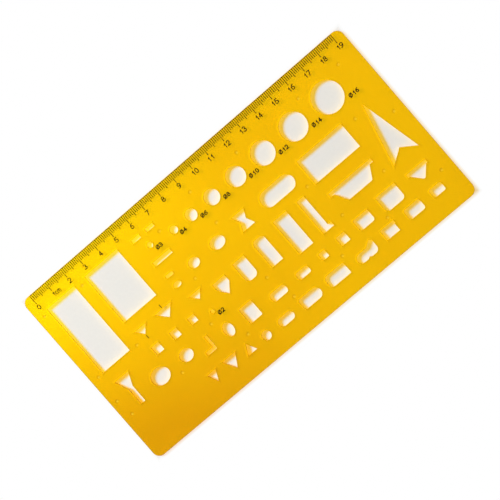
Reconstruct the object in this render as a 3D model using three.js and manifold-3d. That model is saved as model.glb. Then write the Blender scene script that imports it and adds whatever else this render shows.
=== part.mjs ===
// A drafting template: one thin amber moulding, pierced with outlines to draw round.
// Its top face carries a printed centimetre scale, the sizes of its round holes and two index ticks.
// Millimetres, +Z up. The scale runs along +X, its edge faces +Y, and the sheet lies on small feet at Z 0.
// The cut-outs are laid out in rows, whose webs and lines are spread to fill the sheet.

import * as THREE from 'three';
import { mergeVertices } from 'three/addons/utils/BufferGeometryUtils.js';
import Module from 'manifold-3d';

// Sheet
const SHEET_LENGTH = 200;
const SHEET_WIDTH = 100;
const SHEET_THICKNESS = 1.2;
const CORNER_RADIUS = 3.8;
const SIDE_MARGIN = 7.2; // right of the cut-out that reaches furthest right
const FOOT_MARGIN = 8.4; // below the lowest cut-out
const LEAST_WEB = 3.4; // sheet left between a cut-out and the one above it

// Feet moulded under the sheet, which hold it clear of wet ink
const PIP_HEIGHT = 0.3;
const PIP_BASE_DIAMETER = 1.5;
const PIP_FOOT_DIAMETER = 0.9;
const PIP_SIDES = 10;

// Printed ink
const INK_THICKNESS = 0.05;

// Scale along the edge
const CENTIMETRE = 10;
const SCALE_CENTIMETRES = 19; // fewer where the sheet is too short for them
const TICKS_PER_CENTIMETRE = 10;
const SCALE_MARGIN = 5; // from the sheet's left end to the zero tick
const SCALE_EDGE_GAP = 0.25; // bare strip between the edge and the base line
const BASE_LINE_WIDTH = 0.16;
const TICK_WIDTH = 0.28;
const MILLIMETRE_TICK = 3.15;
const HALF_TICK = 4.15;
const CENTIMETRE_TICK = 5.05;
const NUMERAL_GAP = 0.5; // from a centimetre tick to its numeral
const FIELD_GAP = 2.2; // from the numerals to the topmost cut-outs

// Lettering
const NUMERAL = { height: 2.6, width: 1.75, stroke: 0.36, gap: 0.25 };
const UNIT = { height: 1.95, width: 1.1, stroke: 0.3, gap: 0.2 };
const UNIT_NUMERAL = 1; // the numeral that the unit follows
const UNIT_ROOM = 0.3; // how far it stands left of its tick, to make room for the unit
const WIDE_LETTER_WIDTH = 1.9;
const LABEL = { height: 2.2, width: 1.6, stroke: 0.4, gap: 0.2 };
const SIGN_WIDTH = 1.9; // the diameter sign is a little wider than a figure

// Index ticks at two of the level marks
const INDEX_WIDTH = 0.35;
const INDEX_LENGTH = 2.1;
const INDEX_GAP = 0.6;

// How far a chord may stray from the curve that it stands for
const CURVE_TOLERANCE = 0.03;
const LETTER_TOLERANCE = 0.02;

// Points nearer than this are one point
const SAME_POINT = 1e-4;

// The rows of cut-outs, in the order that they are laid. A row's line is measured down from the top of the
// field. The row starts at the right of the cut-out that it stands beside, or else at the sheet's left end.
// web: sheet left of a cut-out. Webs and lines are stretched alike until the rows fill the sheet.
// hang: a cut-out's top below the line. drop: its middle below the line, if it has no hang.
// pips: feet near it, each [right of its left side, below the line].
// label: the printed size of a round hole, [right of the hole's right side, below its middle].
const ROWS = [
  { line: 0, cuts: [
    { name: 'bed', shape: rectangle, web: 7.2, hang: 0, width: 17.4, height: 40.5,
      pips: [[-3.2, 1.9], [-2.8, 40.9]] },
    { name: 'cupboard', shape: rectangle, web: 6.9, hang: 0, width: 20.6, height: 28.7, pips: [[-3.5, 2.4]] },
  ] },
  { line: 2.4, beside: 'cupboard', cuts: [
    { name: 'slit_left', shape: rectangle, web: 7.9, width: 4.9, height: 1.8 },
    { name: 'slit_right', shape: rectangle, web: 3.7, width: 4.8, height: 1.8 },
  ] },
  { line: 8.8, beside: 'cupboard', cuts: [
    { name: 'circle_3', shape: ellipse, web: 12.1, width: 3, height: 3, label: [-0.25, 2] },
  ] },
  { line: 10.7, beside: 'slit_right', cuts: [
    { name: 'circle_4', shape: ellipse, web: 3.8, width: 4, height: 4, label: [-0.6, 2.1],
      pips: [[-3.6, -3.8]] },
    { name: 'circle_6', shape: ellipse, web: 6, width: 6, height: 6, label: [0, 2.6] },
    { name: 'circle_8', shape: ellipse, web: 6, width: 8, height: 8, label: [0.1, 2.9],
      pips: [[-2.2, -8.3]] },
    { name: 'circle_10', shape: ellipse, web: 6, width: 10, height: 10, label: [-0.15, 3.3] },
    { name: 'circle_12', shape: ellipse, web: 6, width: 12, height: 12, label: [-0.25, 4],
      pips: [[-3.2, -8.1]] },
    { name: 'circle_14', shape: ellipse, web: 6, width: 14, height: 14, label: [-0.15, 4.5] },
    { name: 'circle_16', shape: ellipse, web: 6, width: 16, height: 16, label: [-0.1, 5.3],
      pips: [[-2.7, -8.3], [21.8, -8.1]] },
  ] },
  { line: 17.3, beside: 'cupboard', cuts: [
    { name: 'slit_long', shape: rectangle, web: 8.7, width: 10.8, height: 2.2 },
  ] },
  { line: 25.6, beside: 'cupboard', cuts: [
    { name: 'slot_small', shape: rounded, web: 8.9, width: 4.5, height: 1.6, radius: 0.7 },
  ] },
  { line: 28.7, beside: 'slit_long', cuts: [
    { name: 'oval_table_small', shape: ellipse, web: 1.6, width: 6, height: 5, pips: [[-1.5, 6.2]] },
    { name: 'oval_table', shape: ellipse, web: 7.8, width: 8.1, height: 6.2 },
    { name: 'seat', shape: waisted, web: 8.5, width: 7.4, height: 8.5, notch: 2, pips: [[-6.6, -7.3]] },
    { name: 'couch', shape: rounded, web: 8, width: 19.5, height: 8.3, radius: 4.1 },
    { name: 'desk', shape: rectangle, web: 6.1, hang: -4.5, width: 27.2, height: 13.7, pips: [[-3.8, 7.7]] },
    { name: 'north_arrow', shape: dart, web: 6.2, hang: -4.8, width: 14.8, height: 31.4, notch: 5.1,
      pips: [[0.5, -1.8], [16.5, 7.2]] },
  ] },
  { line: 31.4, beside: 'cupboard', cuts: [
    { name: 'oval_small', shape: ellipse, web: 8.9, width: 4.5, height: 2.8 },
  ] },
  { line: 35.6, beside: 'bed', cuts: [
    { name: 'level_mark', shape: wedgeDown, web: 7.5, hang: 0, width: 7, height: 3.9, pips: [[-3.1, 5.5]] },
    { name: 'level_mark_large', shape: wedgeDown, web: 5.9, hang: 0.1, width: 10, height: 5.3 },
    { name: 'level_mark_right', shape: wedgeDown, web: 8.4, hang: 4.2, width: 6.8, height: 3.9 },
  ] },
  { line: 47.8, cuts: [
    { name: 'drain', shape: funnel, web: 8.6, hang: 0, width: 8.6, height: 15.9, coneHeight: 6.6, stem: 2.6,
      pips: [[-5.1, 7.6], [-3.6, 16.9]] },
  ] },
  { line: 48.4, beside: 'bed', cuts: [
    { name: 'post_large', shape: rectangle, web: 8.7, drop: 0.2, width: 4.5, height: 4.5 },
    { name: 'post_medium', shape: rectangle, web: 6.8, drop: 0.4, width: 4.3, height: 4.2 },
    { name: 'post_small', shape: rectangle, web: 6.8, drop: 0.5, width: 3.9, height: 3.8 },
    { name: 'circle_2', shape: ellipse, web: 6.9, drop: 3.7, width: 2, height: 2, label: [0.45, 1.4],
      pips: [[-3.4, 8]] },
    { name: 'urinal', shape: shield, web: 7.2, drop: -1.65, width: 7.6, height: 8.3, shoulder: 3.4 },
    { name: 'pan', shape: roundFoot, web: 6.1, drop: -1.35, width: 7, height: 11.3, radius: 2.6 },
    { name: 'bath', shape: roundHead, web: 6.7, drop: -1.3, width: 6.7, height: 15, radius: 2,
      pips: [[-5, 8.3]] },
    { name: 'worktop', shape: rectangle, web: 7.5, width: 8.2, height: 19.6 },
    { name: 'corner_worktop', shape: angle, web: 6.6, width: 6.3, height: 19.6, stem: 4.3, foot: 2.1 },
    { name: 'sink', shape: flanged, web: 7.5, drop: 1.15, width: 25.8, height: 8.3, flange: 1.9, step: 2.1,
      taper: 3.6, pips: [[-1.3, 8.8], [27, 5.7]] },
  ] },
  { line: 65.7, beside: 'drain', cuts: [
    { name: 'oval_bath', shape: ellipse, web: 5.4, drop: -6.1, width: 10.3, height: 8.5 },
    { name: 'oval_basin', shape: ellipse, web: 7.4, drop: -5.8, width: 7.4, height: 6.3,
      pips: [[-3.3, -0.5]] },
    { name: 'door_swing', shape: spur, web: 4.1, drop: -2.8, width: 5.8, height: 8, stem: 1.4, foot: 1.7 },
    { name: 'oval_stool', shape: ellipse, web: 7.4, drop: -2.1, width: 5.4, height: 7.2 },
    { name: 'cooker', shape: rounded, web: 7.1, drop: -1.65, width: 7.5, height: 8.7, radius: 0.6 },
    { name: 'bench_long', shape: rounded, web: 7.8, drop: 0.2, width: 9.2, height: 4.3, radius: 1.5 },
    { name: 'bench', shape: rounded, web: 7, drop: 0.3, width: 7.2, height: 3.7, radius: 1 },
    { name: 'stool_small', shape: rounded, web: 7.4, drop: 0.2, width: 3.7, height: 3.7, radius: 0.5 },
    { name: 'stool', shape: rounded, web: 7.6, drop: 0.2, width: 5, height: 4.8, radius: 0.4 },
    { name: 'tub_small', shape: roundFoot, web: 6.3, drop: -0.1, width: 8.8, height: 6.1, radius: 1.3 },
    { name: 'washbasin', shape: roundFoot, web: 6.4, drop: -0.1, width: 11.2, height: 8.7, radius: 2.1 },
    { name: 'bowl', shape: flanged, web: 6.7, drop: -0.1, width: 11.5, height: 6.6, flange: 1.7, step: 0.9,
      taper: 4.4 },
  ] },
  { line: 77.4, cuts: [
    { name: 'wedge_small', shape: wedgeDown, web: 45, drop: -0.7, width: 5.2, height: 5.4 },
    { name: 'wedge', shape: wedgeDown, web: 4.6, drop: -0.3, width: 8, height: 6.6 },
    { name: 'wedge_up', shape: wedgeUp, web: 3.7, drop: -0.65, width: 5.5, height: 5.3 },
    { name: 'basin_round', shape: ellipse, web: 5.3, width: 4.8, height: 4.8, pips: [[-4, -6]] },
    { name: 'oval_slot', shape: rounded, web: 5.4, drop: 0.1, width: 9.1, height: 4.4, radius: 2.2 },
    { name: 'boat_tub', shape: roundEnd, web: 5.3, width: 11.7, height: 5.7, radius: 1.1, endRadius: 2.7,
      pips: [[0.1, -5.5]] },
    { name: 'tub', shape: roundEnd, web: 4.5, width: 11.9, height: 6.1, radius: 1.9, endRadius: 0.4 },
    { name: 'piano', shape: piano, web: 5.7, drop: 0.1, width: 11.6, height: 7, horn: 2.3, waist: 0.9,
      pips: [[-3.7, -5.5]] },
    { name: 'cistern', shape: ledge, web: 5.7, drop: -0.2, width: 8, height: 5.5, ledge: 0.5, lip: 1.6,
      pips: [[7, -5.5]] },
    { name: 'hob', shape: rounded, web: 6.3, drop: -0.4, width: 9.3, height: 5.5, radius: 1.2 },
    { name: 'switch_box', shape: rounded, web: 5.9, drop: -0.5, width: 6.9, height: 4.4, radius: 0.8,
      pips: [[11, -6.3]] },
  ] },
];

const amberPlastic = new THREE.MeshStandardMaterial({
  color: '#f5b905', roughness: 0.18, metalness: 0, flatShading: true,
});
const blackInk = new THREE.MeshStandardMaterial({
  color: '#1c1208', roughness: 0.55, metalness: 0, flatShading: true,
});

const wasm = await Module();
wasm.setup();

// Curves

// Points along an arc of an ellipse, close enough together to keep its chords within the tolerance
function arc(x, y, radiusX, radiusY, from, to, tolerance = CURVE_TOLERANCE) {
  const step = 2 * Math.acos(1 - tolerance / Math.max(radiusX, radiusY));
  const count = Math.max(2, Math.ceil(Math.abs(to - from) / step));
  return Array.from({ length: count + 1 }, (_, i) => {
    const angle = from + (to - from) * i / count;
    return [x + radiusX * Math.cos(angle), y + radiusY * Math.sin(angle)];
  });
}

// A closed outline through corners, each [x, y] or [x, y, fillet radius]. A fillet takes half a side at most.
function filleted(corners) {
  return corners.flatMap(([x, y, radius = 0], i) => {
    if (radius === 0) return [[x, y]];
    const corner = new THREE.Vector2(x, y);
    const [before, after] = [corners.at(i - 1), corners[(i + 1) % corners.length]]
      .map(([nextX, nextY]) => new THREE.Vector2(nextX, nextY).sub(corner));
    const halfAngle = Math.acos(before.dot(after) / before.length() / after.length()) / 2;
    const reach = Math.min(radius / Math.tan(halfAngle), before.length() / 2, after.length() / 2);
    const start = before.clone().setLength(reach);
    const end = after.clone().setLength(reach);
    const middle = start.clone().add(end).setLength(reach / Math.cos(halfAngle));
    const from = start.sub(middle).angle();
    const sweep = end.sub(middle).angle() - from;
    const turn = sweep - 2 * Math.PI * Math.round(sweep / (2 * Math.PI));
    const fitted = reach * Math.tan(halfAngle);
    return arc(x + middle.x, y + middle.y, fitted, fitted, from, from + turn);
  });
}

// Outlines of the cut-outs, each about its own middle, with y down the sheet

function box({ width, height }) {
  return { left: -width / 2, right: width / 2, top: -height / 2, foot: height / 2 };
}

function rectangle(cut) {
  const { left, right, top, foot } = box(cut);
  return [[left, top], [right, top], [right, foot], [left, foot]];
}

function rounded(cut) {
  return filleted(rectangle(cut).map((corner) => [...corner, cut.radius]));
}

function roundFoot(cut) {
  const [topLeft, topRight, footRight, footLeft] = rectangle(cut);
  return filleted([topLeft, topRight, [...footRight, cut.radius], [...footLeft, cut.radius]]);
}

function roundHead(cut) {
  const [topLeft, topRight, footRight, footLeft] = rectangle(cut);
  return filleted([[...topLeft, cut.radius], [...topRight, cut.radius], footRight, footLeft]);
}

function roundEnd(cut) {
  const [topLeft, topRight, footRight, footLeft] = rectangle(cut);
  return filleted([
    [...topLeft, cut.radius], [...topRight, cut.endRadius],
    [...footRight, cut.endRadius], [...footLeft, cut.radius],
  ]);
}

function ellipse({ width, height }) {
  return arc(0, 0, width / 2, height / 2, 0, 2 * Math.PI).slice(1);
}

function wedgeDown(cut) {
  const { left, right, top, foot } = box(cut);
  return [[left, top], [right, top], [0, foot]];
}

function wedgeUp(cut) {
  const { left, right, top, foot } = box(cut);
  return [[0, top], [right, foot], [left, foot]];
}

// A tall arrowhead with a notch in its foot
function dart(cut) {
  const { left, right, top, foot } = box(cut);
  return [[0, top], [right, foot], [0, foot - cut.notch], [left, foot]];
}

// A box drawn in at the middle of both sides
function waisted(cut) {
  const { left, right, top, foot } = box(cut);
  const waist = right - cut.notch;
  return [[left, top], [right, top], [waist, 0], [right, foot], [left, foot], [-waist, 0]];
}

// Upright sides below a flat top, then a point
function shield(cut) {
  const { left, right, top, foot } = box(cut);
  return [[left, top], [right, top], [right, top + cut.shoulder], [0, foot], [left, top + cut.shoulder]];
}

// A cone that ends in a stem
function funnel(cut) {
  const { left, right, top, foot } = box(cut);
  const neck = top + cut.coneHeight;
  const half = cut.stem / 2;
  return [[left, top], [right, top], [half, neck], [half, foot], [-half, foot], [-half, neck]];
}

// A basin under a wider flange
function flanged(cut) {
  const { left, right, top, foot } = box(cut);
  const rim = top + cut.flange;
  const inset = cut.step + cut.taper;
  return filleted([
    [left, top], [right, top], [right, rim], [right - cut.step, rim], [right - inset, foot, cut.flange / 2],
    [left + inset, foot, cut.flange / 2], [left + cut.step, rim], [left, rim],
  ]);
}

// A stem with a foot to its right
function angle(cut) {
  const { left, right, top, foot } = box(cut);
  const side = left + cut.stem;
  const instep = foot - cut.foot;
  return [[left, top], [side, top], [side, instep], [right, instep], [right, foot], [left, foot]];
}

// A narrow stem with a foot to its left
function spur(cut) {
  return angle(cut).map(([x, y]) => [-x, y]);
}

// A box whose top runs out to the right as a lip
function ledge(cut) {
  const { left, right, top, foot } = box(cut);
  const side = right - cut.ledge;
  const lip = top + cut.lip;
  return [[left, top], [right, top], [right, lip], [side, lip], [side, foot], [left, foot]];
}

// A body with two lobes at its foot and a horn at its upper right
function piano(cut) {
  const { left, right, top, foot } = box(cut);
  const back = top + cut.horn;
  const lobe = (foot - back) / 2;
  return filleted([
    [left, back, lobe], [right - 2 * cut.horn, back], [right - cut.horn / 2, top, cut.waist / 2],
    [right, top + cut.waist, cut.waist / 2], [right, foot, lobe], [cut.waist, foot, lobe / 2],
    [0, foot - cut.waist, cut.waist], [-cut.waist, foot, lobe / 2], [left, foot, lobe],
  ]);
}

// Layout, in x from the sheet's left end and y down from the scale's edge

const tickTop = SCALE_EDGE_GAP;
const numeralTop = tickTop + CENTIMETRE_TICK + NUMERAL_GAP;
const fieldTop = numeralTop + NUMERAL.height + FIELD_GAP;
const sheetTop = PIP_HEIGHT + SHEET_THICKNESS;

// From a row's line down to the top of one of its cut-outs
function rise({ hang, drop = 0, height }) {
  return hang ?? drop - height / 2;
}

// The webs and the widths of cut-outs that lie between the sheet's left end and the right of each in a row
function rowReach(row, known) {
  let { webs, widths } = known.find((reach) => reach.name === row.beside) ?? { webs: 0, widths: 0 };
  return row.cuts.map(({ name, web, width }) => {
    webs += web;
    widths += width;
    return { name, webs, widths };
  });
}

// How much the webs have to stretch for the longest row to end at the side margin
const reaches = ROWS.reduce((known, row) => [...known, ...rowReach(row, known)], []);
const roomAlong = SHEET_LENGTH - SIDE_MARGIN;
const stretchAlong = Math.min(...reaches.map(({ webs, widths }) => (roomAlong - widths) / webs));

// How much the rows' lines have to stretch for the lowest row to end at the foot margin
const roomDown = SHEET_WIDTH - FOOT_MARGIN - fieldTop;
const lowered = ROWS.filter((row) => row.line > 0);
const stretchDown = Math.min(...lowered.flatMap(({ line, cuts }) => (
  cuts.map((cut) => (roomDown - rise(cut) - cut.height) / line)
)));

function sharesColumn(cut, other) {
  return cut.left < other.left + other.width && other.left < cut.left + cut.width;
}

// Sets a row's cut-outs out from left to right, and lowers the row until each clears those above it
function layRow(row, placed) {
  const neighbour = placed.find((cut) => cut.name === row.beside);
  let x = neighbour ? neighbour.left + neighbour.width : 0;
  const cuts = row.cuts.map((cut) => {
    const left = x + cut.web * stretchAlong;
    x = left + cut.width;
    return { ...cut, left };
  });
  const floors = cuts.flatMap((cut) => placed.filter((other) => sharesColumn(cut, other))
    .map((other) => other.top + other.height + LEAST_WEB - rise(cut)));
  const line = Math.max(fieldTop + row.line * stretchDown, ...floors);
  return cuts.map((cut) => ({ ...cut, line, top: line + rise(cut) }));
}

const cutOuts = ROWS.reduce((placed, row) => [...placed, ...layRow(row, placed)], []);
const roomForScale = (SHEET_LENGTH - 2 * SCALE_MARGIN + SAME_POINT) / CENTIMETRE;
const centimetres = Math.min(SCALE_CENTIMETRES, Math.floor(roomForScale));

// From layout to model: the sheet's middle is the origin and y turns up
function onSheet(x, y) {
  return new THREE.Vector2(x - SHEET_LENGTH / 2, SHEET_WIDTH / 2 - y);
}

// Solids

// Neighbouring points that coincide are one point
function path(points) {
  return points.filter((point, i) => point.distanceTo(points.at(i - 1)) > SAME_POINT);
}

function solid(geometry) {
  geometry.deleteAttribute('normal');
  geometry.deleteAttribute('uv');
  const merged = mergeVertices(geometry, SAME_POINT);
  return new wasm.Manifold(new wasm.Mesh({
    numProp: 3,
    vertProperties: new Float32Array(merged.attributes.position.array),
    triVerts: new Uint32Array(merged.index.array),
  }));
}

function extruded(outline, holes, bottom, depth) {
  const shape = new THREE.Shape(path(outline));
  shape.holes = holes.map((hole) => new THREE.Path(path(hole)));
  const geometry = new THREE.ExtrudeGeometry(shape, { depth, bevelEnabled: false });
  geometry.translate(0, 0, bottom);
  return solid(geometry);
}

function mesh(name, body, material) {
  const { vertProperties, triVerts } = body.getMesh();
  const geometry = new THREE.BufferGeometry();
  geometry.setAttribute('position', new THREE.BufferAttribute(vertProperties, 3));
  geometry.setIndex(new THREE.BufferAttribute(triVerts, 1));
  geometry.computeVertexNormals();
  const result = new THREE.Mesh(geometry, material);
  result.name = name;
  return result;
}

// The moulded sheet with its cut-outs and feet

function cutOutline(cut) {
  const [middleX, middleY] = [cut.left + cut.width / 2, cut.top + cut.height / 2];
  return cut.shape(cut).map(([x, y]) => onSheet(middleX + x, middleY + y));
}

// A tapered foot, rooted half way into the sheet
function pip(x, y) {
  const root = PIP_HEIGHT + SHEET_THICKNESS / 2;
  const profile = [
    [0, 0], [PIP_FOOT_DIAMETER / 2, 0], [PIP_BASE_DIAMETER / 2, PIP_HEIGHT],
    [PIP_BASE_DIAMETER / 2, root], [0, root],
  ].map(([radius, height]) => new THREE.Vector2(radius, height));
  const geometry = new THREE.LatheGeometry(profile, PIP_SIDES);
  geometry.rotateX(Math.PI / 2);
  const place = onSheet(x, y);
  geometry.translate(place.x, place.y, 0);
  return solid(geometry);
}

function cutPips(cut) {
  return (cut.pips ?? []).map(([x, y]) => pip(cut.left + x * stretchAlong, cut.line + y * stretchDown));
}

function templateSheet() {
  const outline = rounded({ width: SHEET_LENGTH, height: SHEET_WIDTH, radius: CORNER_RADIUS })
    .map(([x, y]) => new THREE.Vector2(x, y));
  const plate = extruded(outline, [], PIP_HEIGHT, SHEET_THICKNESS);
  const punches = cutOuts.map((cut) => extruded(cutOutline(cut), [], 0, sheetTop + PIP_HEIGHT));
  const pips = cutOuts.flatMap(cutPips);
  const pierced = punches.reduce((body, punch) => body.subtract(punch), plate);
  return mesh('template_sheet', pips.reduce((body, foot) => body.add(foot), pierced), amberPlastic);
}

// The scale: a base line along the edge with a tick at each millimetre, all one print

function tickLength(index) {
  if (index % TICKS_PER_CENTIMETRE === 0) return CENTIMETRE_TICK;
  return index % (TICKS_PER_CENTIMETRE / 2) === 0 ? HALF_TICK : MILLIMETRE_TICK;
}

function scaleGraduations() {
  const pitch = CENTIMETRE / TICKS_PER_CENTIMETRE;
  const last = centimetres * TICKS_PER_CENTIMETRE;
  const base = tickTop + BASE_LINE_WIDTH;
  const half = TICK_WIDTH / 2;
  const teeth = Array.from({ length: last + 1 }, (_, index) => {
    const x = SCALE_MARGIN + index * pitch;
    const end = tickTop + tickLength(index);
    return [[x - half, base], [x - half, end], [x + half, end], [x + half, base]];
  }).flat();
  const outline = [[SCALE_MARGIN - half, tickTop], ...teeth, [SCALE_MARGIN + last * pitch + half, tickTop]];
  const body = extruded(outline.map(([x, y]) => onSheet(x, y)), [], sheetTop, INK_THICKNESS);
  return mesh('scale_graduations', body, blackInk);
}

// Lettering: each character is a set of strokes in a cell from 0 to 1, with y up

function bend(x, y, radiusX, radiusY, fromDegrees, toDegrees) {
  const [from, to] = [fromDegrees, toDegrees].map(THREE.MathUtils.degToRad);
  return arc(x, y, radiusX, radiusY, from, to, LETTER_TOLERANCE);
}

function loop(x, y, radiusX, radiusY) {
  return { closed: true, points: bend(x, y, radiusX, radiusY, 0, 360).slice(1) };
}

function stroke(...points) {
  return { closed: false, points };
}

const SIX = [loop(0.5, 0.31, 0.5, 0.31), stroke(...bend(0.9, 0.31, 0.9, 0.69, 180, 85))];
const CHARACTERS = {
  0: [loop(0.5, 0.5, 0.5, 0.5)],
  1: [stroke([0.38, 0.66], [0.7, 0.88], [0.7, 0])],
  2: [stroke(...bend(0.5, 0.7, 0.5, 0.3, 170, -25), [0, 0], [1, 0])],
  3: [stroke(...bend(0.45, 0.76, 0.47, 0.24, 160, -90)), stroke(...bend(0.45, 0.26, 0.55, 0.26, 90, -160))],
  4: [stroke([1, 0.27], [0, 0.27], [0.68, 1]), stroke([0.68, 1], [0.68, 0])],
  5: [stroke([0.92, 1], [0.14, 1], [0.07, 0.5]), stroke(...bend(0.46, 0.32, 0.54, 0.32, 148, -160))],
  6: SIX,
  7: [stroke([0, 1], [1, 1], [0.35, 0])],
  8: [loop(0.5, 0.76, 0.42, 0.24), loop(0.5, 0.26, 0.5, 0.26)],
  9: SIX.map(({ closed, points }) => ({ closed, points: points.map(([x, y]) => [1 - x, 1 - y]) })),
  c: [stroke(...bend(0.5, 0.5, 0.5, 0.5, 50, 310))],
  m: [stroke([0, 1], [0, 0]), stroke(...bend(0.25, 0.62, 0.25, 0.38, 180, 0), [0.5, 0]),
    stroke(...bend(0.75, 0.62, 0.25, 0.38, 180, 0), [1, 0])],
  sign: [loop(0.5, 0.5, 0.5, 0.5), stroke([0.09, -0.03], [0.91, 1.03])],
};

// The points of a line moved to one side of it, with mitred corners
function offset(points, closed, distance) {
  return points.map((point, i) => {
    const before = closed || i > 0 ? point.clone().sub(points.at(i - 1)) : null;
    const after = closed || i < points.length - 1 ? points[(i + 1) % points.length].clone().sub(point) : null;
    const [inward, outward] = [before ?? after, after ?? before].map((side) => side.clone().normalize());
    const along = inward.add(outward).normalize();
    const mitre = distance / along.dot(outward);
    return new THREE.Vector2(point.x - along.y * mitre, point.y + along.x * mitre);
  });
}

// A line whose two ends are drawn out by a length
function drawnOut(line, length) {
  const ends = [[line[0], line[1]], [line.at(-1), line.at(-2)]];
  const [first, last] = ends.map(([end, next]) => end.clone().sub(next).setLength(length).add(end));
  return [first, ...line.slice(1, -1), last];
}

// A stroke of ink. An open one ends square, half its width past its last point, so that it fills its cell.
function inkStroke({ points, closed }, style, width, left, top) {
  const half = style.stroke / 2;
  const cell = points.map(([x, y]) => onSheet(
    left + half + x * (width - style.stroke),
    top + half + (1 - y) * (style.height - style.stroke),
  ));
  const line = closed ? cell : drawnOut(cell, half);
  const [outer, inner] = [half, -half].map((side) => offset(line, closed, side));
  return closed
    ? extruded(inner, [outer], sheetTop, INK_THICKNESS)
    : extruded([...outer, ...inner.reverse()], [], sheetTop, INK_THICKNESS);
}

function character(name, letter, style, width, left, top) {
  const strokes = CHARACTERS[letter].map((part) => inkStroke(part, style, width, left, top));
  return mesh(name, strokes.reduce((body, part) => body.add(part)), blackInk);
}

const PLACES = { 1: ['units'], 2: ['tens', 'units'] };

// A number, one figure a mesh, from its left end
function figures(prefix, value, style, left, top) {
  const digits = [...String(value)];
  const pitch = style.width + style.gap;
  return digits.map((digit, i) => character(
    `${prefix}_${PLACES[digits.length][i]}`, digit, style, style.width, left + i * pitch, top,
  ));
}

function numberWidth(value, style) {
  return String(value).length * (style.width + style.gap) - style.gap;
}

function scaleNumeral(value) {
  const room = value === UNIT_NUMERAL ? UNIT_ROOM : 0;
  const left = SCALE_MARGIN + value * CENTIMETRE - room - numberWidth(value, NUMERAL) / 2;
  return figures(`scale_${value}`, value, NUMERAL, left, numeralTop);
}

function scaleUnit() {
  const left = SCALE_MARGIN + UNIT_NUMERAL * CENTIMETRE - UNIT_ROOM + NUMERAL.width / 2;
  const top = numeralTop + NUMERAL.height - UNIT.height;
  return [
    character('scale_unit_c', 'c', UNIT, UNIT.width, left, top),
    character('scale_unit_m', 'm', UNIT, WIDE_LETTER_WIDTH, left + UNIT.width + UNIT.gap, top),
  ];
}

function holeLabel(cut) {
  const [shift, drop] = cut.label;
  const left = cut.left + cut.width + shift;
  const top = cut.top + cut.height / 2 + drop;
  const size = Math.round(cut.width);
  return [
    character(`label_${size}_sign`, 'sign', LABEL, SIGN_WIDTH, left, top),
    ...figures(`label_${size}`, size, LABEL, left + SIGN_WIDTH + LABEL.gap, top),
  ];
}

// A short upright tick in line with a level mark
function indexTick(name, markName, topOf) {
  const mark = cutOuts.find((cut) => cut.name === markName);
  const [middle, top] = [mark.left + mark.width / 2, topOf(mark)];
  const tick = { width: INDEX_WIDTH, height: INDEX_LENGTH };
  const outline = rectangle(tick).map(([x, y]) => onSheet(middle + x, top + INDEX_LENGTH / 2 + y));
  return mesh(name, extruded(outline, [], sheetTop, INK_THICKNESS), blackInk);
}

const template = new THREE.Group();
template.name = 'drafting_template';
template.add(templateSheet(), scaleGraduations());
for (let value = 0; value <= centimetres; value += 1) template.add(...scaleNumeral(value));
template.add(...scaleUnit());
cutOuts.filter((cut) => cut.label).forEach((cut) => template.add(...holeLabel(cut)));
template.add(
  indexTick('index_tick_lower', 'level_mark', (mark) => mark.top + mark.height + INDEX_GAP),
  indexTick('index_tick_upper', 'level_mark_large', (mark) => mark.top - INDEX_GAP - INDEX_LENGTH),
);

export default template;
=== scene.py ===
# Looks of an amber drafting template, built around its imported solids. Metres, +Z up, as in the frame.

import math

import bmesh
import bpy
from mathutils import Euler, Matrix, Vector
from mathutils.geometry import delaunay_2d_cdt


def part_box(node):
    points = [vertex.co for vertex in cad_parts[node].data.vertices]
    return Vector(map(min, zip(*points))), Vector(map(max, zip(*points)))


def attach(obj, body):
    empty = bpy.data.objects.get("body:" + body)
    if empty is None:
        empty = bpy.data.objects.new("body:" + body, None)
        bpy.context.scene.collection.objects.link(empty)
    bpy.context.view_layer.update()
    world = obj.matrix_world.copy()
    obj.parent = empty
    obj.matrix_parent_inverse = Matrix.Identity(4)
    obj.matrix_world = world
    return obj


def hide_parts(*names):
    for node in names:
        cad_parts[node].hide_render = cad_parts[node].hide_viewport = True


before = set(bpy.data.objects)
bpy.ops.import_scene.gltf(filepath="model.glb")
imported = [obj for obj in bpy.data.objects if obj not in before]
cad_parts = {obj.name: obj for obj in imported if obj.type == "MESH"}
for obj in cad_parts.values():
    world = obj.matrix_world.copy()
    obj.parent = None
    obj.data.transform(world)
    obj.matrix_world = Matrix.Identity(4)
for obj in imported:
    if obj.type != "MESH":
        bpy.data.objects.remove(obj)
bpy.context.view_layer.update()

MM = 0.001  # one millimetre, in metres

# Camera: one plain lens, set so that the sheet's corners, ticks and holes lie where the photograph has them
CAMERA_LENS = 139.2  # mm, on the default 36 mm sensor
CAMERA_AIM = (0.48, -2.05, 1.5)  # mm, the point of the sheet in the middle of the picture
CAMERA_DISTANCE = 913.3  # mm
CAMERA_NEAREST = 10  # mm, nearer than which nothing is drawn
CAMERA_TURN = (-7.71, 5.195, -41.03)  # degrees about X, Y and Z

# Studio
KEY_DIRECTION = (-1, 1.3, 1.05)  # from the sheet to the lamp
KEY_DISTANCE = 2.5  # metres
KEY_SIZE = 0.9  # metres across
KEY_POWER = 102  # watts
FILL_LEVEL = 0.08  # radiance of the room
WALL_LEVEL = 0.7  # radiance of the room's walls, as gloss shows them near the horizon
WALL_HEIGHT = 0.5  # sine of the height at which the walls end
FLOOR_SIZE = 8.0  # metres
PAPER_EDGE = (0.0, 0.6)  # mm past the sheet's edge, over which the floor's paper turns white
SHADOW_FADE = (-1.5, 1.8)  # mm past the sheet's edge, over which its shadow gives way to plain white

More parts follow.
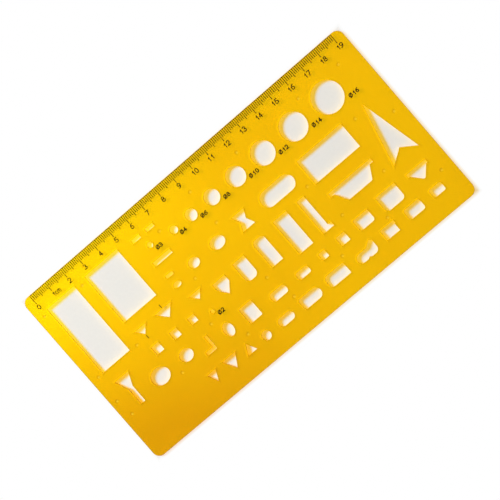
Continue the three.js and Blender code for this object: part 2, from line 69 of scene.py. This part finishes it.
# Sheet
EDGE_ROUND = 0.1  # mm, the softened edge all round the sheet and its cut-outs
EDGE_STEPS = 2  # strips across that rounding
RIM_WIDTH = 0.9  # mm, the band around each cut-out over which the top face rises to a faint rim
RIM_RISE = 0.13  # mm, how high that rim stands at the cut-out
CUT_TOLERANCE = 0.0001  # mm, how near two corners of the top face may lie and still be two
CORNER_ROOM = 2.0  # mm from the sheet's sides, within which a wall is the outer one
SHARPEST = 0.2  # 1 plus the cosine of a corner's turn, below which its inset grows no longer
SHARP_EDGE = 40  # degrees between two faces, past which shading doesn't run on across their edge

# How upright a face's normal is, from 0 on a wall to 1 on level ground
LEVEL_LEAN = 0.9999  # above this a face is level
FLAT_LEAN = 0.98  # below this it is shaded smooth
WALL_LEAN = 0.95  # below this it is a wall or its rounded edge

# Amber tint, and the painted shade laid over it
PAINTED_SHADE_SLOPE = -14  # painted shade: how fast the tint darkens per metre of +Y at the left end, so it is darkest at the foot
PAINTED_SHADE_REACH = 120  # mm from the left end, where that painted shade has died away
CLOUD_SIZE = 40  # mm, the broad clouds of tint
HAZE_SIZE = 3  # mm, the patches where the polish is duller

# Ink and paper
SPECK_SIZE = 0.4  # mm, the thinner specks in the ink
FIBRE_SIZE = 1.5  # mm, the paper's mottling, coarser than its fibres so that it shows

# Feet under the sheet, mm
PIP_FOOT_DIAMETER = 0.9
PIP_BASE_DIAMETER = 1.5
PIP_ROOT = 0.3  # how far a foot runs up into the sheet
PIP_SIDES = 24

# Sink marks in the top face, one over each foot, mm
SINK_FLAT = 1.1  # the level middle
SINK_DIAMETER = 2.4
SINK_DEPTH = 0.1
SINK_PAINTED_SHADE = 0.12  # the share of the outer wall's deeper tint painted on the sloping side of a mark, as painted shade ringing it

# Scale, mm
TICK_PITCH = 1.0
TICK_WIDTH = 0.28
MILLIMETRE_TICK = 3.15
HALF_TICK = 4.15
CENTIMETRE_TICK = 5.05
BASE_LINE_WIDTH = 0.16

# Solids read from the frame, mm
SAME_POINT = 0.001  # two corners nearer than this are one
SAME_LEVEL = 0.01  # two heights nearer than this are one


def colour(code):
    """An sRGB hex code as linear red, green, blue and alpha."""
    parts = [int(code[i:i + 2], 16) / 255 for i in (1, 3, 5)]
    linear = [part / 12.92 if part <= 0.04045 else ((part + 0.055) / 1.055) ** 2.4 for part in parts]
    return (*linear, 1.0)


def add(tree, kind, inputs=None, **settings):
    """A new node. Each setting is one of its properties, and each input a value or another node's output."""
    made = tree.nodes.new(kind)
    for name, value in settings.items():
        setattr(made, name, value)
    for name, value in (inputs or {}).items():
        if isinstance(value, bpy.types.NodeSocket):
            tree.links.new(value, made.inputs[name])
        else:
            made.inputs[name].default_value = value
    return made


def new_material(name):
    """A material and its tree, still empty."""
    material = bpy.data.materials.new(name)
    material.use_nodes = True
    material.node_tree.nodes.clear()
    return material, material.node_tree


def noise(tree, place, size, detail):
    """Soft patches about as wide as a size in mm: a number from 0 to 1 at each place."""
    patches = add(tree, "ShaderNodeTexNoise", {"Vector": place, "Scale": 1 / (size * MM), "Detail": detail})
    return patches.outputs["Fac"]


def blend(tree, share, first, second):
    """A colour that goes from the first to the second as the share goes from 0 to 1."""
    mixed = add(tree, "ShaderNodeMix", {"Factor": share, "A": first, "B": second}, data_type="RGBA")
    return mixed.outputs["Result"]


# Materials

def amber_acrylic(sheet_low):
    """Amber acrylic, injection moulded and polished: clear, glossy and lit from below by its paper.

    The melt leaves broad clouds of a slightly deeper tint, and painted shade darkens it toward the foot of
    the left end.
    Painted shade deepens its outer wall still more and rings each sink mark, and a painted highlight makes a
    paler spot in the middle of each sink mark, over its foot.
    Lamps shine through, so its shadow is light of the same yellow, a deeper one under a deeper tint.
    """
    material, tree = new_material("amber_acrylic")
    place = add(tree, "ShaderNodeTexCoord").outputs["Object"]
    cloud = noise(tree, place, CLOUD_SIZE, 3.0)
    calm = add(tree, "ShaderNodeMapRange", {"Value": cloud, "To Min": 0.38, "To Max": 0.62})
    along = add(tree, "ShaderNodeSeparateXYZ", {"Vector": place}).outputs
    # painted shade: the tint darkens toward the foot, most at the left end and not at all past its reach
    painted_shade_ramp = add(tree, "ShaderNodeMapRange", {
        "Value": along["X"], "From Min": sheet_low.x, "From Max": sheet_low.x + PAINTED_SHADE_REACH * MM,
        "To Min": PAINTED_SHADE_SLOPE, "To Max": 0.0,
    })
    tint_and_painted_shade = add(tree, "ShaderNodeMath", {
        0: along["Y"], 1: painted_shade_ramp.outputs["Result"], 2: calm.outputs["Result"],
    }, operation="MULTIPLY_ADD").outputs["Value"]
    # the tint follows its random clouds plus the painted shade toward the foot of the left end
    tint = blend(tree, tint_and_painted_shade, colour("#ffe100"), colour("#e4b300"))
    # painted shade: the outer wall and the sloping sides of each sink mark are mixed toward a dark amber
    edge = add(tree, "ShaderNodeAttribute", attribute_name="edge")
    with_painted_shade = blend(tree, edge.outputs["Fac"], tint, colour("#b07800"))
    # painted highlight: the level middle of each sink mark is mixed toward a pale yellow spot
    foot = add(tree, "ShaderNodeAttribute", attribute_name="foot")
    with_painted_highlight = blend(tree, foot.outputs["Fac"], with_painted_shade, colour("#ffde30"))
    haze = noise(tree, place, HAZE_SIZE, 4.0)
    gloss = add(tree, "ShaderNodeMapRange", {"Value": haze, "To Min": 0.06, "To Max": 0.16})
    body = add(tree, "ShaderNodeBsdfPrincipled", {
        "Base Color": with_painted_highlight,
        "Roughness": gloss.outputs["Result"],
        "IOR": 1.49,
        "Transmission Weight": 0.3,
    })
    filtered = blend(tree, tint_and_painted_shade, colour("#fff44c"), colour("#f8d230"))
    lamplight = add(tree, "ShaderNodeBsdfTransparent", {"Color": filtered})
    path = add(tree, "ShaderNodeLightPath")
    mixed = add(tree, "ShaderNodeMixShader", {
        0: path.outputs["Is Shadow Ray"], 1: body.outputs["BSDF"], 2: lamplight.outputs["BSDF"],
    })
    add(tree, "ShaderNodeOutputMaterial", {"Surface": mixed.outputs["Shader"]})
    return material


def printing_ink():
    """Screen printing ink: a satin black film, a little thinner and browner in specks."""
    material, tree = new_material("printing_ink")
    place = add(tree, "ShaderNodeTexCoord").outputs["Object"]
    speck = noise(tree, place, SPECK_SIZE, 3.0)
    film = blend(tree, speck, colour("#0a0604"), colour("#1c1006"))
    body = add(tree, "ShaderNodeBsdfPrincipled", {"Base Color": film, "Roughness": 0.3})
    add(tree, "ShaderNodeOutputMaterial", {"Surface": body.outputs["BSDF"]})
    return material


def drawing_paper(sheet_low, sheet_high):
    """White cartridge paper: matt, faintly mottled, and plain white to the eye away from the sheet."""
    material, tree = new_material("drawing_paper")
    place = add(tree, "ShaderNodeTexCoord").outputs["Object"]
    fibre = noise(tree, place, FIBRE_SIZE, 4.0)
    tone = blend(tree, fibre, colour("#eae8e2"), colour("#f0eee8"))
    middle = (sheet_low + sheet_high) / 2
    half = (sheet_high - sheet_low) / 2
    from_middle = add(tree, "ShaderNodeVectorMath", {0: place, 1: (middle.x, middle.y, 0)},
                      operation="SUBTRACT")
    mirrored = add(tree, "ShaderNodeVectorMath", {0: from_middle.outputs[0]}, operation="ABSOLUTE")
    beyond = add(tree, "ShaderNodeVectorMath", {0: mirrored.outputs[0], 1: (half.x, half.y, 0)},
                 operation="SUBTRACT")
    way = add(tree, "ShaderNodeSeparateXYZ", {"Vector": beyond.outputs[0]}).outputs
    away = add(tree, "ShaderNodeMath", {0: way["X"], 1: way["Y"]}, operation="MAXIMUM")
    clean, white = [add(tree, "ShaderNodeMapRange", {
        "Value": away.outputs[0], "From Min": near * MM, "From Max": far * MM,
    }).outputs["Result"] for near, far in (PAPER_EDGE, SHADOW_FADE)]
    fresh = blend(tree, clean, tone, colour("#fafaf8"))
    paper = add(tree, "ShaderNodeBsdfDiffuse", {"Color": fresh})
    path = add(tree, "ShaderNodeLightPath")
    seen = add(tree, "ShaderNodeMath", {0: path.outputs["Is Camera Ray"], 1: path.outputs["Is Glossy Ray"]},
               operation="MAXIMUM")
    shown = add(tree, "ShaderNodeMath", {0: seen.outputs[0], 1: path.outputs["Is Transmission Ray"]},
                operation="MAXIMUM")
    share = add(tree, "ShaderNodeMath", {0: shown.outputs[0], 1: white}, operation="MULTIPLY")
    blank = add(tree, "ShaderNodeEmission", {"Color": (1, 1, 1, 1), "Strength": 1.0})
    mixed = add(tree, "ShaderNodeMixShader", {
        0: share.outputs[0], 1: paper.outputs["BSDF"], 2: blank.outputs["Emission"],
    })
    add(tree, "ShaderNodeOutputMaterial", {"Surface": mixed.outputs["Shader"]})
    return material


# Meshes

def new_object(name, data):
    """An object at the origin, in the scene."""
    made = bpy.data.objects.new(name, data)
    bpy.context.scene.collection.objects.link(made)
    return made


def finished_mesh(source, name):
    """The mesh that an object shows once its modifiers have run. The object is then removed."""
    shown = source.evaluated_get(bpy.context.evaluated_depsgraph_get())
    mesh = bpy.data.meshes.new_from_object(shown)
    mesh.name = name
    bpy.data.objects.remove(source)
    return mesh


def top_face(mesh):
    """The corners of a solid's top face, its triangles, and its outlines with the material on their left."""
    faces = [face for face in mesh.faces if face.normal.z > WALL_LEAN]
    upward = set(faces)
    corners = list(dict.fromkeys(vertex for face in faces for vertex in face.verts))
    number = {vertex: index for index, vertex in enumerate(corners)}
    triangles = [[number[vertex] for vertex in face.verts] for face in faces]
    following = {}
    for loop in (loop for face in faces for loop in face.loops):
        if any(face not in upward for face in loop.edge.link_faces):
            following[number[loop.vert]] = number[loop.link_loop_next.vert]
    outlines = []
    while following:
        outline = [next(iter(following))]
        while following[outline[-1]] != outline[0]:
            outline.append(following.pop(outline[-1]))
        del following[outline[-1]]
        outlines.append(outline)
    return [vertex.co.xy for vertex in corners], triangles, outlines


def foot_middles(mesh, level):
    """The middle of each flat foot that a solid stands on, in the order of the solid's corners."""
    standing = [vertex for vertex in mesh.verts if abs(vertex.co.z - level) < SAME_LEVEL * MM]
    waiting = set(standing)
    middles = []
    for first in standing:
        if first in waiting:
            waiting.remove(first)
            foot = [first]
            for vertex in foot:
                linked = [edge.other_vert(vertex) for edge in vertex.link_edges]
                found = [other for other in linked if other in waiting]
                waiting.difference_update(found)
                foot += found
            middles.append(sum((vertex.co for vertex in foot), Vector()) / len(foot))
    return middles


def pairs(ring):
    """Each item of a closed ring with the one after it."""
    return list(zip(ring, ring[1:] + ring[:1]))


def inward(corners, outline):
    """For each corner of an outline, the step into the material that moves both its edges by one metre."""
    steps = {}
    for before, here, after in zip(outline[-1:] + outline, outline, outline[1:] + outline[:1]):
        arriving = (corners[here] - corners[before]).normalized()
        leaving = (corners[after] - corners[here]).normalized()
        lefts = [Vector((-way.y, way.x)) for way in (arriving, leaving)]
        steps[here] = (lefts[0] + lefts[1]) / max(1 + lefts[0].dot(lefts[1]), SHARPEST)
    return steps


def edge_rings(bottom, top):
    """Inset and height of each ring of the sheet's rounded edge, from its top face to its underside."""
    turns = [math.pi / 2 * step / EDGE_STEPS for step in range(EDGE_STEPS + 1)]
    upper = [(1 - math.sin(turn), 1 - math.cos(turn)) for turn in turns]
    round_over = EDGE_ROUND * MM
    return ([(inset * round_over, top - drop * round_over) for inset, drop in upper]
            + [(inset * round_over, bottom + drop * round_over) for inset, drop in reversed(upper)])


def is_cut_out(corners, outline):
    """Whether an outline runs clockwise, round a cut-out, and not round the sheet."""
    return sum(corners[here].cross(corners[after]) for here, after in pairs(outline)) < 0


def inside_borders(faces, borders):
    """The faces of a full triangulation that lie inside its borders, found from the hull inwards."""
    walls = {frozenset(pair) for pair in borders}
    beside = {}
    for number, face in enumerate(faces):
        for side in pairs(face):
            beside.setdefault(frozenset(side), []).append(number)
    start = next(numbers[0] for numbers in beside.values() if len(numbers) == 1)
    inside = {start: True}
    waiting = [start]
    while waiting:
        here = waiting.pop()
        for side in map(frozenset, pairs(faces[here])):
            for there in beside[side]:
                if there not in inside:
                    inside[there] = inside[here] != (side in walls)
                    waiting.append(there)
    return [face for number, face in enumerate(faces) if inside[number]]


def rimmed_top(corners, outlines, steps):
    """The top face, cut along a line round each cut-out, where its rim begins.

    Gives the triangles, numbered by corner, and the points of those lines, numbered after the corners.
    """
    count = len(corners)
    points = [corner + steps[index] * EDGE_ROUND * MM for index, corner in enumerate(corners)]
    borders = [pair for outline in outlines for pair in pairs(outline)]
    lines = []
    for outline in outlines:
        if is_cut_out(corners, outline):
            lines += pairs(list(range(len(points), len(points) + len(outline))))
            points += [corners[index] + steps[index] * RIM_WIDTH * MM for index in outline]
    in_mm = [point / MM for point in points]
    cut, _, faces, origins, _, _ = delaunay_2d_cdt(in_mm, borders + lines, [], 0, CUT_TOLERANCE)
    number = []
    added = []
    for point, origin in zip(cut, origins):
        corner = min(origin, default=count)
        if corner >= count:
            corner = count + len(added)
            added.append(point * MM)
        number.append(corner)
    return inside_borders([[number[index] for index in face] for face in faces], borders), added


def moulded_sheet(name, corners, triangles, outlines, bottom, top):
    """A flat moulding with its cut-outs, its edges rounded over, and a faint rim round each cut-out."""
    steps = {}
    for outline in outlines:
        steps.update(inward(corners, outline))
    rimmed = {index for outline in outlines if is_cut_out(corners, outline) for index in outline}
    rings = edge_rings(bottom, top)
    count = len(corners)
    points = []
    for ring, (inset, height) in enumerate(rings):
        rise = RIM_RISE * MM if ring <= EDGE_STEPS else 0.0
        for index, corner in enumerate(corners):
            lift = rise if index in rimmed else 0.0
            points.append((*(corner + steps[index] * inset), height + lift))
    upper, line_points = rimmed_top(corners, outlines, steps)
    skipped = len(points) - count
    points += [(*point, top) for point in line_points]
    faces = [[index if index < count else index + skipped for index in face] for face in upper]
    underside = count * (len(rings) - 1)
    faces += [[underside + index for index in reversed(triangle)] for triangle in triangles]
    for outline in outlines:
        for here, after in pairs(outline):
            for ring in range(0, underside, count):
                faces.append((after + ring, here + ring, here + ring + count, after + ring + count))
    mesh = bpy.data.meshes.new(name)
    mesh.from_pydata(points, [], faces)
    return mesh


# Geometry Nodes trees

def new_tree(name, sizes):
    """A Geometry Nodes tree with a geometry input, a named number for each size, and its two end nodes."""
    tree = bpy.data.node_groups.new(name, "GeometryNodeTree")
    tree.interface.new_socket("Geometry", in_out="INPUT", socket_type="NodeSocketGeometry")
    for size in sizes:
        tree.interface.new_socket(size, in_out="INPUT", socket_type="NodeSocketFloat")
    tree.interface.new_socket("Material", in_out="INPUT", socket_type="NodeSocketMaterial")
    tree.interface.new_socket("Geometry", in_out="OUTPUT", socket_type="NodeSocketGeometry")
    return tree, add(tree, "NodeGroupInput").outputs


def end_tree(tree, geometry, material):
    """Ends a tree with real geometry in its material."""
    real = add(tree, "GeometryNodeRealizeInstances", {"Geometry": geometry})
    painted = add(tree, "GeometryNodeSetMaterial", {"Geometry": real.outputs[0], "Material": material})
    add(tree, "NodeGroupOutput", {"Geometry": painted.outputs[0]})


def run_tree(name, tree, points, inputs):
    """The mesh that a tree makes at some points, with its named inputs set."""
    mesh = bpy.data.meshes.new(name)
    mesh.from_pydata(points, [], [])
    carrier = new_object(name, mesh)
    modifier = carrier.modifiers.new(name, "NODES")
    modifier.node_group = tree
    for item in tree.interface.items_tree:
        if item.name in inputs:
            modifier[item.identifier] = inputs[item.name]
    return finished_mesh(carrier, name)


def taper_tree():
    """A tapered stud on each point, its wide end up: a foot, or the tool that presses a sink mark."""
    tree, size = new_tree("tapered_studs", ["Foot Diameter", "Base Diameter", "Height"])
    half = [add(tree, "ShaderNodeMath", {0: size[name], 1: 2.0}, operation="DIVIDE").outputs[0]
            for name in ("Foot Diameter", "Base Diameter")]
    cone = add(tree, "GeometryNodeMeshCone", {
        "Vertices": PIP_SIDES, "Radius Bottom": half[0], "Radius Top": half[1], "Depth": size["Height"],
    })
    placed = add(tree, "GeometryNodeInstanceOnPoints", {
        "Points": size["Geometry"], "Instance": cone.outputs["Mesh"],
    })
    end_tree(tree, placed.outputs["Instances"], size["Material"])
    return tree


def tick_tree():
    """A bar of ink hanging from each point: the longest at each tenth, a shorter one half way between.

    A hairline along the points joins the bars.
    """
    tree, size = new_tree("scale_ticks", [
        "Width", "Thickness", "Plain Length", "Half Length", "Tenth Length", "Line Width",
    ])
    index = add(tree, "GeometryNodeInputIndex").outputs[0]
    length = size["Plain Length"]
    for step, longer in ((5.0, "Half Length"), (10.0, "Tenth Length")):
        rest = add(tree, "ShaderNodeMath", {0: index, 1: step}, operation="MODULO")
        due = add(tree, "ShaderNodeMath", {0: rest.outputs[0], 1: 0.5}, operation="LESS_THAN")
        length = add(tree, "GeometryNodeSwitch", {
            "Switch": due.outputs[0], "False": length, "True": size[longer],
        }, input_type="FLOAT").outputs[0]
    section = add(tree, "ShaderNodeCombineXYZ", {"X": size["Width"], "Y": 1.0, "Z": size["Thickness"]})
    bar = add(tree, "GeometryNodeMeshCube", {"Size": section.outputs[0]})
    hung = add(tree, "GeometryNodeTransform", {"Geometry": bar.outputs["Mesh"], "Translation": (0, -0.5, 0)})
    scale = add(tree, "ShaderNodeCombineXYZ", {"X": 1.0, "Y": length, "Z": 1.0})
    placed = add(tree, "GeometryNodeInstanceOnPoints", {
        "Points": size["Geometry"], "Instance": hung.outputs[0], "Scale": scale.outputs[0],
    })
    ends = add(tree, "GeometryNodeBoundBox", {"Geometry": size["Geometry"]}).outputs
    span = add(tree, "ShaderNodeVectorMath", {0: ends["Max"], 1: ends["Min"]}, operation="SUBTRACT")
    girth = add(tree, "ShaderNodeCombineXYZ", {
        "X": size["Width"], "Y": size["Line Width"], "Z": size["Thickness"],
    })
    reach = add(tree, "ShaderNodeVectorMath", {0: span.outputs[0], 1: girth.outputs[0]}, operation="ADD")
    line = add(tree, "GeometryNodeMeshCube", {"Size": reach.outputs[0]})
    middle = add(tree, "ShaderNodeVectorMath", {0: span.outputs[0], 1: (0.5, 0.5, 0.5), 2: ends["Min"]},
                 operation="MULTIPLY_ADD")
    drop = add(tree, "ShaderNodeVectorMath", {0: girth.outputs[0], 1: (0, -0.5, 0), 2: middle.outputs[0]},
               operation="MULTIPLY_ADD")
    laid = add(tree, "GeometryNodeTransform", {
        "Geometry": line.outputs["Mesh"], "Translation": drop.outputs[0],
    })
    whole = add(tree, "GeometryNodeJoinGeometry", {"Geometry": placed.outputs["Instances"]})
    tree.links.new(laid.outputs[0], whole.inputs["Geometry"])
    end_tree(tree, whole.outputs[0], size["Material"])
    return tree


# Pieces

def make_sheet(material):
    """The amber moulding, with its feet joined to its underside and a sink mark pressed in over each."""
    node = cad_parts["template_sheet"]
    low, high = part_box("template_sheet")
    solid = bmesh.new()
    solid.from_mesh(node.data)
    bmesh.ops.remove_doubles(solid, verts=solid.verts, dist=SAME_POINT * MM)
    corners, triangles, outlines = top_face(solid)
    feet = foot_middles(solid, low.z)
    underside = min(vertex.co.z for vertex in solid.verts if vertex.co.z > low.z + SAME_LEVEL * MM)
    solid.free()
    pip_height = underside - low.z + PIP_ROOT * MM
    widening = (PIP_BASE_DIAMETER - PIP_FOOT_DIAMETER) / (underside - low.z)
    base_diameter = PIP_FOOT_DIAMETER + widening * pip_height
    studs = taper_tree()
    feet_mesh = run_tree("moulded_feet", studs, feet, {
        "Foot Diameter": PIP_FOOT_DIAMETER * MM,
        "Base Diameter": base_diameter * MM,
        "Height": pip_height,
        "Material": material,
    })
    sinks = [(foot.x, foot.y, high.z - SINK_DEPTH * MM) for foot in feet]
    sink_mesh = run_tree("sink_marks", studs, sinks, {
        "Foot Diameter": SINK_FLAT * MM,
        "Base Diameter": (2 * SINK_DIAMETER - SINK_FLAT) * MM,
        "Height": 2 * SINK_DEPTH * MM,
        "Material": material,
    })
    plain = moulded_sheet("amber_sheet", corners, triangles, outlines, underside, high.z)
    plain.materials.append(material)
    sheet = new_object("amber_sheet", plain)
    tools = []
    for operation, tool_mesh in (("UNION", feet_mesh), ("DIFFERENCE", sink_mesh)):
        tools.append(new_object(tool_mesh.name, tool_mesh))
        joint = sheet.modifiers.new(tool_mesh.name, "BOOLEAN")
        joint.operation = operation
        joint.solver = "MANIFOLD"
        joint.object = tools[-1]
    mesh = finished_mesh(sheet, "amber_sheet")
    for tool in tools:
        bpy.data.objects.remove(tool)
    finish_faces(mesh, low, high)
    sheet = new_object("amber_sheet", mesh)
    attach(sheet, "root")
    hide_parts("template_sheet")


def finish_faces(mesh, low, high):
    """Shades the walls and their rounded edges smooth; marks painted shade on the outer wall and sink mark
    sides, and a painted highlight in their middles.
    """
    mesh.set_sharp_from_angle(angle=math.radians(SHARP_EDGE))
    for name in ("edge", "foot"):
        mesh.attributes.new(name, "FLOAT", "FACE")
    edge = mesh.attributes["edge"].data
    foot = mesh.attributes["foot"].data
    middle = (low + high) / 2
    half = (high - low) / 2
    for face in mesh.polygons:
        lean = abs(face.normal.z)
        from_middle = face.center - middle
        outer = max(abs(from_middle.x) - half.x, abs(from_middle.y) - half.y) > -CORNER_ROOM * MM
        sunk = face.normal.z > WALL_LEAN and face.center.z < high.z - SAME_LEVEL * MM
        level = lean > LEVEL_LEAN
        face.use_smooth = lean < FLAT_LEAN
        # edge: painted shade on the outer wall and the sloping sides of the sink marks; foot: painted
        # highlight in their level middles
        edge[face.index].value = SINK_PAINTED_SHADE if sunk and not level else float(lean < WALL_LEAN and outer)
        foot[face.index].value = float(sunk and level)


def make_scale(ink):
    """The printed ticks and the hairline that joins them along the edge."""
    low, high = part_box("scale_graduations")
    count = round((high.x - low.x) / MM / TICK_PITCH) + 1
    left = low.x + TICK_WIDTH * MM / 2
    level = (low.z + high.z) / 2
    points = [(left + index * TICK_PITCH * MM, high.y, level) for index in range(count)]
    mesh = run_tree("scale_ticks", tick_tree(), points, {
        "Width": TICK_WIDTH * MM,
        "Thickness": high.z - low.z,
        "Plain Length": MILLIMETRE_TICK * MM,
        "Half Length": HALF_TICK * MM,
        "Tenth Length": CENTIMETRE_TICK * MM,
        "Line Width": BASE_LINE_WIDTH * MM,
        "Material": ink,
    })
    ticks = new_object("scale_ticks", mesh)
    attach(ticks, "root")
    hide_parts("scale_graduations")


def ink_the_lettering(ink):
    """The numerals, letters, hole sizes and index ticks keep their solids and get the ink."""
    for name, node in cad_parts.items():
        if name != "template_sheet":
            node.material_slots[0].material = ink


# Studio

def make_floor():
    """A wide sheet of drawing paper, level with the feet."""
    low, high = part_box("template_sheet")
    mesh = bpy.data.meshes.new("floor")
    half = FLOOR_SIZE / 2
    corners = [(-half, -half, 0), (half, -half, 0), (half, half, 0), (-half, half, 0)]
    mesh.from_pydata(corners, [], [(0, 1, 2, 3)])
    mesh.materials.append(drawing_paper(low, high))
    new_object("floor", mesh)


def make_lamp():
    """One round lamp at the upper left of the sheet."""
    lamp = bpy.data.lights.new("key_lamp", "AREA")
    lamp.shape = "DISK"
    lamp.size = KEY_SIZE
    lamp.energy = KEY_POWER
    direction = Vector(KEY_DIRECTION).normalized()
    key = new_object("key_lamp", lamp)
    key.location = direction * KEY_DISTANCE
    key.rotation_euler = direction.to_track_quat("Z", "Y").to_euler()
    key.visible_transmission = False  # its light already comes through the amber as a tinted shadow
    key.visible_glossy = False  # a flat sheet would mirror it as one white glare


def make_room():
    """A dim room, white to the camera, whose paler walls show in gloss alone."""
    world = bpy.data.worlds.new("room")
    world.use_nodes = True
    tree = world.node_tree
    tree.nodes.clear()
    path = add(tree, "ShaderNodeLightPath").outputs
    direction = add(tree, "ShaderNodeTexCoord").outputs["Generated"]
    height = add(tree, "ShaderNodeSeparateXYZ", {"Vector": direction}).outputs["Z"]
    walls = add(tree, "ShaderNodeMapRange", {
        "Value": height, "From Max": WALL_HEIGHT, "To Min": WALL_LEVEL, "To Max": FILL_LEVEL,
    })
    level = add(tree, "ShaderNodeMix", {
        "Factor": path["Is Glossy Ray"], "A": FILL_LEVEL, "B": walls.outputs["Result"],
    })
    shown = add(tree, "ShaderNodeMix", {
        "Factor": path["Is Camera Ray"], "A": level.outputs["Result"], "B": 1.0,
    })
    sky = add(tree, "ShaderNodeBackground", {"Color": (1, 1, 1, 1), "Strength": shown.outputs["Result"]})
    add(tree, "ShaderNodeOutputWorld", {"Surface": sky.outputs["Background"]})
    bpy.context.scene.world = world


def make_camera():
    """The photograph's view of the sheet."""
    lens = bpy.data.cameras.new("camera")
    lens.lens = CAMERA_LENS
    lens.clip_start = CAMERA_NEAREST * MM
    camera = new_object("camera", lens)
    camera.rotation_euler = Euler([math.radians(turn) for turn in CAMERA_TURN])
    back = camera.rotation_euler.to_matrix() @ Vector((0, 0, CAMERA_DISTANCE * MM))
    camera.location = Vector(CAMERA_AIM) * MM + back
    bpy.context.scene.camera = camera


bpy.context.scene.view_settings.view_transform = "Standard"
make_camera()
make_lamp()
make_room()
make_floor()
black_ink = printing_ink()
make_sheet(amber_acrylic(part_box("template_sheet")[0]))
make_scale(black_ink)
ink_the_lettering(black_ink)
